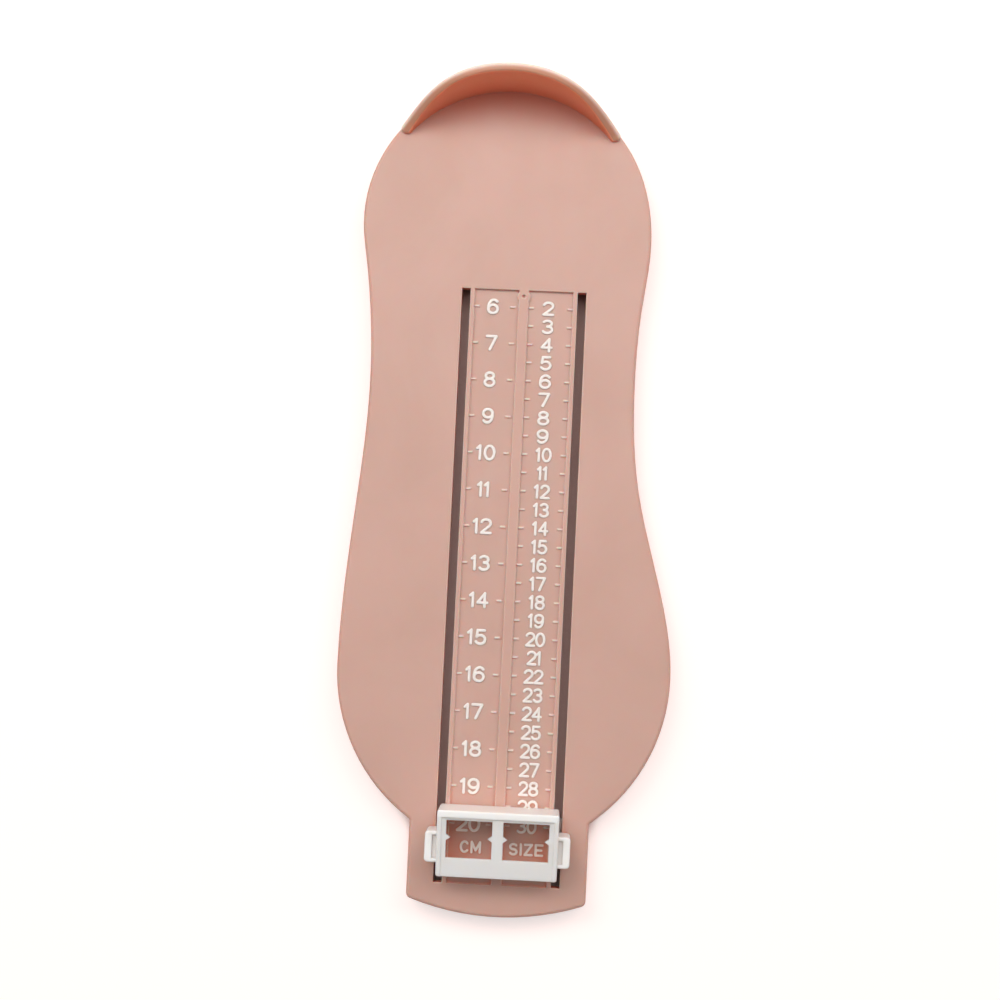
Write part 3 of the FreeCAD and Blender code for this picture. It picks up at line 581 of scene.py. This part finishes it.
@dataclass(frozen=True)
class MouldedPlastic:
    """The finish of an injection-moulded piece, with its lengths in millimetres."""

    name: str
    color: Color
    shade: Color
    # Painted highlight: edges are painted lighter, as rounded edges catch the light.
    edge_color: Color
    edge_strength: float
    # Painted shade: the piece's own creases and recesses are painted darker.
    crease_color: Color
    crease_reach: float
    crease_strength: float
    # Painted shade: places that other pieces cover, as under the slider, are painted darker and warmer.
    covered_color: Color
    cover_reach: float
    roughness: float
    grain_depth: float
    edge_radius: float
    glow: float
    glow_reach: tuple[float, float, float]
    cup: CupColors | None = None
    ink: MarkInk | None = None
    streak_roughness: float = 0.06
    edge_polish: float = 0.08
    refraction: float = 1.49

    def build(self, groups: GroupMaker, layout: ScaleLayout) -> bpy.types.Material:
        """Make the material.

        Args:
            groups: The shared shader groups.
            layout: The places of the scale and the heel cup.

        Returns:
            The material.
        """
        material = bpy.data.materials.new(self.name)
        material.use_nodes = True
        shader = Shader(material.node_tree)
        shader.tree.nodes.clear()
        grain = groups.place(shader, "moulded_grain")
        edges = groups.place(shader, "edge_mask", Radius=self.edge_radius * MM)
        creases = groups.place(shader, "crease_mask", Reach=self.crease_reach * MM,
                               Cover_Reach=self.cover_reach * MM)

        color = shader.blend(grain.outputs["Mottle"], self.color, self.shade)
        # Painted shade where other pieces cover the surface.
        color = shader.blend(creases.outputs["Covered"], color, self.covered_color)
        # Painted shade in the piece's own creases.
        deep = shader.math("MULTIPLY", creases.outputs["Deep"], self.crease_strength)
        color = shader.blend(deep, color, self.crease_color)
        # Painted highlight along the edges.
        highlight_share = shader.math("MULTIPLY", edges.outputs["Mask"], self.edge_strength)
        color = shader.blend(highlight_share, color, self.edge_color)
        # The heel cup adds painted light and shade; the ink on the marks is print.
        for extra in filter(None, (self.cup, self.ink)):
            color = extra.tint(shader, groups, layout, creases, color)

        roughness = shader.math("MULTIPLY_ADD", grain.outputs["Streak"], self.streak_roughness,
                                self.roughness - self.streak_roughness / 2)
        roughness = shader.math("MULTIPLY_ADD", edges.outputs["Mask"], -self.edge_polish, roughness)
        bump = shader.add("ShaderNodeBump", Height=grain.outputs["Height"], Strength=1.0,
                          Distance=self.grain_depth * MM, Normal=edges.outputs["Normal"])
        principled = shader.add("ShaderNodeBsdfPrincipled", Base_Color=color, Roughness=roughness,
                                Normal=bump.outputs[0], IOR=self.refraction, Subsurface_Weight=self.glow,
                                Subsurface_Radius=self.glow_reach, Subsurface_Scale=MM)
        shader.add("ShaderNodeOutputMaterial", Surface=principled.outputs[0])
        return material


BOARD_PLASTIC = MouldedPlastic(
    name="dusty_pink_plastic",
    color=srgb(210, 169, 155),
    shade=srgb(205, 164, 149),
    edge_color=srgb(246, 216, 201),
    edge_strength=0.8,
    crease_color=srgb(205, 92, 68),
    crease_reach=25.0,
    crease_strength=1.0,
    covered_color=srgb(224, 136, 108),
    cover_reach=12.0,
    roughness=0.5,
    grain_depth=0.012,
    edge_radius=0.5,
    glow=0.7,
    glow_reach=(2.2, 0.7, 0.4),
    cup=CupColors(wall=srgb(246, 156, 119), wall_deep=srgb(228, 123, 94),
                  rim=srgb(194, 137, 108), rim_outside=srgb(246, 231, 219),
                  bounce=srgb(214, 132, 108), bounce_reach=17.0),
    ink=MarkInk(srgb(238, 216, 205)),
)

# The figures are the board's own plastic, and their thick ink lets little light in.
FIGURE_PLASTIC = replace(BOARD_PLASTIC, name="inked_pink_plastic", glow=0.1, edge_radius=0.2,
                         cup=None, ink=MarkInk(srgb(246, 234, 227)))

SLIDER_PLASTIC = MouldedPlastic(
    name="white_plastic",
    color=srgb(249, 246, 243),
    shade=srgb(246, 243, 239),
    edge_color=srgb(252, 251, 249),
    edge_strength=0.55,
    crease_color=srgb(176, 166, 158),
    crease_reach=5.0,
    crease_strength=0.35,
    covered_color=srgb(236, 226, 220),
    cover_reach=4.0,
    roughness=0.36,
    grain_depth=0.006,
    edge_radius=0.3,
    glow=0.7,
    glow_reach=(1.6, 1.4, 1.2),
)


# Figures


@dataclass(frozen=True)
class Bow:
    """Part of an ellipse in a figure's own square, turned through from one angle to another."""

    x: float
    y: float
    half_width: float
    half_height: float
    start: float
    end: float
    steps: int = 20

    def points(self) -> list[Point]:
        """Work out the bow's points.

        Returns:
            The points, in order.
        """
        turns = [math.radians(self.start + (self.end - self.start) * step / self.steps)
                 for step in range(self.steps + 1)]
        return [(self.x + self.half_width * math.cos(turn), self.y + self.half_height * math.sin(turn))
                for turn in turns]


@dataclass(frozen=True)
class Line:
    """A straight run in a figure's own square."""

    start: Point
    end: Point

    def points(self) -> list[Point]:
        """Give the run's two ends."""
        return [self.start, self.end]


Stroke = tuple[Bow | Line, ...]

# Each figure is drawn with strokes in a square that runs from 0 to 1 both ways.
FIGURES: dict[str, tuple[Stroke, ...]] = {
    "0": ((Bow(0.5, 0.5, 0.5, 0.5, 90, 450, 36),),),
    "1": ((Line((0.5, 0.0), (0.5, 1.0)),), (Line((0.5, 1.0), (0.2, 0.8)),)),
    "2": ((Bow(0.5, 0.72, 0.48, 0.28, 165, -38), Line((0.86, 0.52), (0.02, 0.0))),
          (Line((0.02, 0.0), (1.0, 0.0)),)),
    "3": ((Bow(0.47, 0.76, 0.44, 0.24, 150, -90),), (Bow(0.47, 0.27, 0.5, 0.27, 90, -150),)),
    "4": ((Line((0.74, 0.0), (0.74, 1.0)),), (Line((0.74, 1.0), (0.0, 0.3)),),
          (Line((0.0, 0.3), (1.0, 0.3)),)),
    "5": ((Line((0.9, 1.0), (0.16, 1.0)),), (Line((0.16, 1.0), (0.08, 0.52)),),
          (Bow(0.46, 0.32, 0.52, 0.32, 138, -150),)),
    "6": ((Bow(0.5, 0.31, 0.5, 0.31, 90, 450, 32),), (Bow(0.56, 0.46, 0.56, 0.54, 195, 48),)),
    "7": ((Line((0.0, 1.0), (1.0, 1.0)),), (Line((1.0, 1.0), (0.36, 0.0)),)),
    "8": ((Bow(0.5, 0.77, 0.42, 0.23, 90, 450, 28),), (Bow(0.5, 0.27, 0.5, 0.27, 90, 450, 32),)),
    "9": ((Bow(0.5, 0.69, 0.5, 0.31, 90, 450, 32),), (Bow(0.44, 0.54, 0.56, 0.54, 15, -132),)),
    "C": ((Bow(0.54, 0.5, 0.54, 0.5, 42, 318, 28),),),
    "M": ((Line((0.0, 0.0), (0.0, 1.0)),), (Line((0.0, 1.0), (0.5, 0.2)),),
          (Line((0.5, 0.2), (1.0, 1.0)),), (Line((1.0, 1.0), (1.0, 0.0)),)),
    "S": ((Bow(0.5, 0.75, 0.46, 0.25, 30, 270),), (Bow(0.5, 0.25, 0.48, 0.25, 90, -150),)),
    "I": ((Line((0.5, 0.0), (0.5, 1.0)),),),
    "Z": ((Line((0.0, 1.0), (1.0, 1.0)),), (Line((1.0, 1.0), (0.0, 0.0)),),
          (Line((0.0, 0.0), (1.0, 0.0)),)),
    "E": ((Line((0.0, 0.0), (0.0, 1.0)),), (Line((0.0, 1.0), (0.95, 1.0)),),
          (Line((0.0, 0.5), (0.8, 0.5)),), (Line((0.0, 0.0), (0.95, 0.0)),)),
}
# Room that some figures take, as a share of a usual figure's width.
ROOM = {"1": 0.45, "I": 0.05, "M": 1.2}


@dataclass(frozen=True)
class MarkStyle:
    """Size of one set of raised marks, in millimetres."""

    height: float
    width: float
    stroke: float
    gap: float


@dataclass
class FigureCutter:
    """Builds raised figures as closed meshes: strokes with drafted sides and domed tops."""

    layout: ScaleLayout
    # Share of a stroke's half width, and share of its height.
    profile: tuple[Point, ...] = ((1.0, -0.25), (0.94, 0.45), (0.86, 0.78), (0.66, 0.94), (0.34, 1.0))
    # Height of the ridge along a stroke's middle, as a share of the stroke's height.
    crown: float = 1.02
    cap_steps: int = 6
    # Millimetres within which two points are the same, and within which a stroke's ends meet.
    same_point: float = 0.01
    same_end: float = 0.02
    weld: float = 1e-5
    made: dict[tuple[str, MarkStyle], bpy.types.Mesh] = field(default_factory=dict)

    def advance(self, letter: str, style: MarkStyle) -> float:
        """Give how wide a figure is, its stroke included."""
        return (style.width - style.stroke) * ROOM.get(letter, 1.0) + style.stroke

    def figure(self, letter: str, style: MarkStyle) -> bpy.types.Mesh:
        """Give one figure's mesh, which stands on z = 0 with its left foot at the origin.

        Args:
            letter: The figure.
            style: Its size.

        Returns:
            The mesh, in millimetres, made on its first use.
        """
        key = (letter, style)
        if key not in self.made:
            strokes = [self._stroke(stroke, letter, style) for stroke in FIGURES[letter]]
            self.made[key] = self._fuse(strokes)
        return self.made[key]

    def _path(self, stroke: Stroke, letter: str, style: MarkStyle) -> list[Vector]:
        """Give a stroke's middle line in millimetres, with no point twice.

        Args:
            stroke: The stroke's bows and straight runs.
            letter: The figure that it belongs to.
            style: The figure's size.

        Returns:
            The middle line's points.
        """
        # A 1 is drawn in a whole square and takes only the middle of it.
        share = 1.0 if letter == "1" else ROOM.get(letter, 1.0)
        wide = (style.width - style.stroke) * share
        shift = (self.advance(letter, style) - wide) / 2
        high = style.height - style.stroke
        path: list[Vector] = []
        for part in stroke:
            for x, y in part.points():
                point = Vector((shift + x * wide, style.stroke / 2 + y * high, 0.0))
                if not path or (point - path[-1]).length > self.same_point:
                    path.append(point)
        return path

    def _rim(self, path: Sequence[Vector], reach: float, ring: bool) -> list[list[Vector]]:
        """Give the outline at one distance from the middle line.

        Args:
            path: The middle line.
            reach: The distance from it.
            ring: Whether the middle line closes on itself.

        Returns:
            One loop, or two for a ring.
        """
        count = len(path)
        ways = []
        for index in range(count):
            before = path[index - 1] if ring or index else path[0]
            after = path[(index + 1) % count] if ring or index + 1 < count else path[-1]
            ways.append((after - before).normalized())
        side = [Vector((-way.y, way.x, 0.0)) for way in ways]
        left = [point + out * reach for point, out in zip(path, side)]
        right = [point - out * reach for point, out in zip(path, side)]
        if ring:
            return [left, right]

        def cap(centre: Vector, start: Vector) -> list[Vector]:
            """Give the points of a round end between its two sides."""
            turns = [math.pi * step / self.cap_steps for step in range(1, self.cap_steps)]
            return [centre + Matrix.Rotation(-turn, 3, "Z") @ start * reach for turn in turns]

        return [left + cap(path[-1], side[-1]) + right[::-1] + cap(path[0], -side[0])]

    def _stroke(self, stroke: Stroke, letter: str, style: MarkStyle) -> bpy.types.Mesh:
        """Make one stroke as a closed mesh.

        Args:
            stroke: The stroke's bows and straight runs.
            letter: The figure that it belongs to.
            style: The figure's size.

        Returns:
            The mesh, in millimetres.
        """
        path = self._path(stroke, letter, style)
        ring = (path[0] - path[-1]).length < self.same_end
        if ring:
            path = path[:-1]
        half = style.stroke / 2
        rise = self.layout.mark_rise
        mesh = bmesh.new()
        levels = []
        for share, high in self.profile:
            loops = self._rim(path, share * half, ring)
            levels.append([[mesh.verts.new((p.x, p.y, high * rise)) for p in loop] for loop in loops])
        for lower, upper in zip(levels, levels[1:]):
            for low, top in zip(lower, upper):
                self._band(mesh, low, top)
        if ring:
            self._band(mesh, levels[-1][0], levels[-1][1])
            self._band(mesh, levels[0][0], levels[0][1])
        else:
            self._lid(mesh, levels[-1][0], path, self.crown * rise)
            self._lid(mesh, levels[0][0], path, self.profile[0][1] * rise)
        bmesh.ops.remove_doubles(mesh, verts=mesh.verts[:], dist=self.weld)
        bmesh.ops.recalc_face_normals(mesh, faces=mesh.faces[:])
        result = bpy.data.meshes.new(f"stroke_{letter}")
        mesh.to_mesh(result)
        mesh.free()
        return result

    @staticmethod
    def _band(mesh: bmesh.types.BMesh, low: Sequence[bmesh.types.BMVert],
              top: Sequence[bmesh.types.BMVert]) -> None:
        """Join two loops of as many points with faces.

        Args:
            mesh: Where the faces are added.
            low: The lower loop.
            top: The upper loop.
        """
        count = len(low)
        for index in range(count):
            following = (index + 1) % count
            mesh.faces.new((low[index], low[following], top[following], top[index]))

    def _lid(self, mesh: bmesh.types.BMesh, loop: Sequence[bmesh.types.BMVert],
             path: Sequence[Vector], height: float) -> None:
        """Close a loop with faces that meet along the stroke's middle line.

        Args:
            mesh: Where the faces are added.
            loop: The outline, which begins at the left of the middle line's start.
            path: The middle line.
            height: Height of the ridge where the faces meet.
        """
        count = len(path)
        ridge = [mesh.verts.new((point.x, point.y, height)) for point in path]
        for index in range(count - 1):
            mesh.faces.new((loop[index], loop[index + 1], ridge[index + 1], ridge[index]))
        far = loop[count - 1:count + self.cap_steps]
        for first, second in zip(far, far[1:]):
            mesh.faces.new((first, second, ridge[-1]))
        back = loop[count + self.cap_steps - 1:2 * count + self.cap_steps - 1]
        for index in range(count - 1):
            mesh.faces.new((back[index], back[index + 1], ridge[count - 2 - index],
                            ridge[count - 1 - index]))
        near = [*loop[2 * count + self.cap_steps - 2:], loop[0]]
        for first, second in zip(near, near[1:]):
            mesh.faces.new((first, second, ridge[0]))

    @staticmethod
    def _fuse(strokes: Sequence[bpy.types.Mesh]) -> bpy.types.Mesh:
        """Join a figure's strokes into one closed skin.

        Args:
            strokes: The strokes' meshes.

        Returns:
            The figure's mesh.
        """
        whole = bpy.data.objects.new("figure", strokes[0])
        bpy.context.scene.collection.objects.link(whole)
        tools = []
        for stroke in strokes[1:]:
            tool = bpy.data.objects.new("stroke", stroke)
            bpy.context.scene.collection.objects.link(tool)
            tools.append(tool)
            joint = whole.modifiers.new("join", "BOOLEAN")
            joint.operation = "UNION"
            joint.solver = "EXACT"
            joint.object = tool
        state = bpy.context.evaluated_depsgraph_get()
        mesh = bpy.data.meshes.new_from_object(whole.evaluated_get(state))
        for used in (whole, *tools):
            bpy.data.objects.remove(used)
        return mesh

    def line(self, mesh: bmesh.types.BMesh, text: str, style: MarkStyle, x: float, y: float) -> None:
        """Set a line of figures, centred on a place of the scale.

        Args:
            mesh: Where the figures are added, in metres.
            text: The figures.
            style: Their size.
            x: Middle of the line, from the scale's middle line, in millimetres.
            y: Middle of the line along the board, in millimetres.
        """
        total = sum(self.advance(letter, style) for letter in text) + style.gap * (len(text) - 1)
        left = self.layout.middle_x + x - total / 2
        for letter in text:
            part = self.figure(letter, style).copy()
            part.transform(Matrix.Translation((left, y - style.height / 2, self.layout.panel_z)))
            part.transform(Matrix.Scale(MM, 4))
            mesh.from_mesh(part)
            bpy.data.meshes.remove(part)
            left += self.advance(letter, style) + style.gap


@dataclass
class ScaleFigures:
    """The raised numerals and unit words on the board's sunk panel."""

    layout: ScaleLayout
    cutter: FigureCutter
    centimetre: MarkStyle = MarkStyle(height=4.5, width=3.4, stroke=0.86, gap=-0.1)
    single_size: MarkStyle = MarkStyle(height=4.15, width=3.4, stroke=0.82, gap=0.0)
    double_size: MarkStyle = MarkStyle(height=4.1, width=2.9, stroke=0.78, gap=-0.2)
    unit: MarkStyle = MarkStyle(height=3.5, width=2.6, stroke=0.74, gap=0.3)
    first_centimetre: int = 6
    last_centimetre: int = 20
    first_size: int = 2
    last_size: int = 30
    first_double: int = 10
    # Reading at size 0, and how far one step of each column goes, in millimetres.
    size_zero: float = 50.0
    size_step: float = 5.0
    centimetre_step: float = 10.0
    centimetre_x: float = -8.3
    single_size_x: float = 6.8
    double_size_x: float = 7.4
    unit_reading: float = 206.2
    centimetre_word_x: float = -7.4
    size_word_x: float = 7.6

    def build(self, material: bpy.types.Material) -> list[bpy.types.Object]:
        """Make the figures, one piece for each column and one for the words.

        Args:
            material: The figures' finish.

        Returns:
            The pieces.
        """
        lengths = bmesh.new()
        for value in range(self.first_centimetre, self.last_centimetre + 1):
            self.cutter.line(lengths, str(value), self.centimetre, self.centimetre_x,
                             self.layout.at_reading(self.centimetre_step * value))
        sizes = bmesh.new()
        for value in range(self.first_size, self.last_size + 1):
            single = value < self.first_double
            self.cutter.line(sizes, str(value), self.single_size if single else self.double_size,
                             self.single_size_x if single else self.double_size_x,
                             self.layout.at_reading(self.size_zero + self.size_step * value))
        words = bmesh.new()
        word_y = self.layout.at_reading(self.unit_reading)
        self.cutter.line(words, "CM", self.unit, self.centimetre_word_x, word_y)
        self.cutter.line(words, "SIZE", self.unit, self.size_word_x, word_y)
        named = {"centimetre_figures": lengths, "size_figures": sizes, "unit_words": words}
        return [finish_piece(mesh, name, material, Body.BOARD)
                for name, mesh in named.items()]


def finish_piece(mesh: bmesh.types.BMesh, name: str, material: bpy.types.Material, body: Body) -> bpy.types.Object:
    """Turn a mesh into a piece that rides on a body.

    Args:
        mesh: The mesh, in metres; it is freed.
        name: The piece's name.
        material: The piece's finish.
        body: The body that carries it.

    Returns:
        The piece.
    """
    data = bpy.data.meshes.new(name)
    mesh.to_mesh(data)
    mesh.free()
    data.materials.append(material)
    piece = bpy.data.objects.new(name, data)
    bpy.context.scene.collection.objects.link(piece)
    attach(piece, body.value)
    return piece


# Stage


@dataclass(frozen=True)
class Lamp:
    """One square lamp over the table, in metres and watts."""

    name: str
    place: tuple[float, float, float]
    size: float
    power: float

    def build(self) -> bpy.types.Object:
        """Hang the lamp and point it at the middle of the board.

        Returns:
            The lamp.
        """
        data = bpy.data.lights.new(self.name, "AREA")
        data.shape = "SQUARE"
        data.size = self.size
        data.energy = self.power
        lamp = bpy.data.objects.new(self.name, data)
        lamp.location = self.place
        lamp.rotation_mode = "QUATERNION"
        lamp.rotation_quaternion = (-Vector(self.place)).to_track_quat("-Z", "Y")
        bpy.context.scene.collection.objects.link(lamp)
        return lamp


@dataclass(frozen=True)
class Studio:
    """A pale floor, three soft lamps and a surround that is brightest near the table's level.

    Lengths are in metres.
    """

    floor_size: float = 6.0
    floor_color: Color = (0.7, 0.49, 0.44)
    floor_roughness: float = 0.9
    floor_shine: float = 0.1
    # Light added to the open floor near the object, and how far off it has grown to full white.
    floor_lift: float = 0.6
    floor_fade: Range = (0.22, 0.6)
    # Share of open sky at which the floor begins to be lifted, and how far it looks for cover.
    floor_open: Range = (0.42, 0.52)
    floor_shade_reach: float = 0.03
    floor_samples: int = 8
    surround_level: float = 0.3
    surround_overhead: float = 0.1
    # Upward share of a direction, between which the surround dims.
    surround_fade: Range = (0.1, 0.95)
    surround_color: Color = (1.0, 0.97, 0.94)
    lamps: tuple[Lamp, ...] = (
        Lamp("left_lamp", (-0.5, 0.5, 0.8), 0.6, 4.6),
        Lamp("right_lamp", (0.55, 0.5, 0.8), 0.6, 3.9),
        Lamp("top_lamp", (-0.05, 0.4, 1.1), 0.8, 5.2),
    )

    def build(self) -> None:
        """Lay the floor, light the surround and hang the lamps."""
        mesh = bmesh.new()
        bmesh.ops.create_grid(mesh, x_segments=1, y_segments=1, size=self.floor_size / 2)
        data = bpy.data.meshes.new("floor")
        mesh.to_mesh(data)
        mesh.free()
        floor = bpy.data.objects.new("floor", data)
        bpy.context.scene.collection.objects.link(floor)
        data.materials.append(self._floor_material())
        for lamp in self.lamps:
            lamp.build()
        self._world()

    @staticmethod
    def _seen(shader: Shader) -> bpy.types.NodeSocket:
        """Tell the rays that look straight at the background or mirror it.

        Args:
            shader: The shader that asks.

        Returns:
            A mask of those rays.
        """
        path = shader.add("ShaderNodeLightPath")
        mirrored = shader.math("MAXIMUM", path.outputs["Is Glossy Ray"],
                               path.outputs["Is Transmission Ray"])
        return shader.math("MAXIMUM", path.outputs["Is Camera Ray"], mirrored)

    def _floor_material(self) -> bpy.types.Material:
        """Make the matt pale floor, which looks white wherever nothing stands over it.

        Returns:
            The floor's material.
        """
        material = bpy.data.materials.new("table_white")
        material.use_nodes = True
        shader = Shader(material.node_tree)
        sky = shader.add("ShaderNodeAmbientOcclusion", {"samples": self.floor_samples},
                         Distance=self.floor_shade_reach)
        clear = shader.ramp(sky.outputs["AO"], *self.floor_open)
        away = shader.add("ShaderNodeVectorMath", {"operation": "LENGTH"},
                          Vector=shader.add("ShaderNodeTexCoord").outputs["Object"])
        lift = shader.ramp(away.outputs["Value"], *self.floor_fade, self.floor_lift, 1.0)
        principled = shader.tree.nodes["Principled BSDF"].inputs
        principled["Base Color"].default_value = (*self.floor_color, 1.0)
        principled["Roughness"].default_value = self.floor_roughness
        principled["Specular IOR Level"].default_value = self.floor_shine
        shader.feed(principled["Emission Color"], shader.blend(clear, (0.0, 0.0, 0.0), (1.0, 1.0, 1.0)))
        shader.feed(principled["Emission Strength"], shader.times(self._seen(shader), lift))
        return material

    def _world(self) -> None:
        """Give a surround that the camera sees as white and that is dim overhead."""
        world = bpy.data.worlds.new("surround")
        bpy.context.scene.world = world
        world.use_nodes = True
        shader = Shader(world.node_tree)
        shader.tree.nodes.clear()
        way = shader.add("ShaderNodeSeparateXYZ",
                         Vector=shader.add("ShaderNodeTexCoord").outputs["Generated"])
        level = shader.ramp(way.outputs["Z"], *self.surround_fade, self.surround_level,
                            self.surround_overhead)
        seen = self._seen(shader)
        strength = shader.math("MAXIMUM", level, seen)
        color = shader.blend(seen, self.surround_color, (1.0, 1.0, 1.0))
        light = shader.add("ShaderNodeBackground", Color=color, Strength=strength)
        shader.add("ShaderNodeOutputWorld", Surface=light.outputs[0])


@dataclass(frozen=True)
class CameraPlan:
    """Where the camera hangs over the board, in millimetres, and how it is turned, in radians."""

    place: tuple[float, float, float] = (10.4, -24.4, 457.2)
    roll: float = 0.0479
    pitch: float = -0.0507
    yaw: float = 0.03
    focal_length: float = 59.83
    sensor: float = 36.0
    nearest: float = 10.0

    def build(self) -> bpy.types.Object:
        """Make the scene's camera.

        Returns:
            The camera.
        """
        turn = (Matrix.Rotation(self.roll, 3, "Z") @ Matrix.Rotation(self.pitch, 3, "X")
                @ Matrix.Rotation(self.yaw, 3, "Y") @ Matrix.Diagonal((1.0, -1.0, -1.0)))
        right, down, ahead = turn[0], turn[1], turn[2]
        data = bpy.data.cameras.new("camera")
        data.lens = self.focal_length
        data.sensor_width = self.sensor
        data.clip_start = self.nearest * MM
        camera = bpy.data.objects.new("camera", data)
        camera.matrix_world = (Matrix.Translation(Vector(self.place) * MM)
                               @ Matrix((right, -down, -ahead)).transposed().to_4x4())
        bpy.context.scene.collection.objects.link(camera)
        bpy.context.scene.camera = camera
        return camera


@dataclass
class MouldedPieces:
    """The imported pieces, which keep their shape and get their finish here."""

    nodes: dict[str, bpy.types.Object]

    def dress(self, board: bpy.types.Material, slider: bpy.types.Material) -> None:
        """Put each finish on its pieces.

        Args:
            board: Finish of the board.
            slider: Finish of the slider and its keeper.
        """
        finishes = {"base_board": board, "slider_frame": slider, "slider_keeper": slider}
        for name, material in finishes.items():
            for slot in self.nodes[name].material_slots:
                slot.material = material
            LOG.info("dressed %s", name)


def clear_defaults() -> None:
    """Take away whatever the empty scene came with."""
    kept = {*frame["nodes"].values(), *frame["bodies"].values()}
    for item in list(bpy.data.objects):
        if item not in kept:
            bpy.data.objects.remove(item)


def main() -> None:
    """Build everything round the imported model, in order."""
    logging.basicConfig(level=logging.INFO, format="%(message)s")
    clear_defaults()
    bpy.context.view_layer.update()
    bpy.context.scene.view_settings.view_transform = "Standard"

    layout = ScaleLayout()
    groups = GroupMaker()
    board = BOARD_PLASTIC.build(groups, layout)
    slider = SLIDER_PLASTIC.build(groups, layout)
    figures = FIGURE_PLASTIC.build(groups, layout)
    MouldedPieces(frame["nodes"]).dress(board, slider)
    for piece in ScaleFigures(layout, FigureCutter(layout)).build(figures):
        LOG.info("made %s with %d faces", piece.name, len(piece.data.polygons))
    Studio().build()
    CameraPlan().build()


if __name__ == "__main__":
    main()
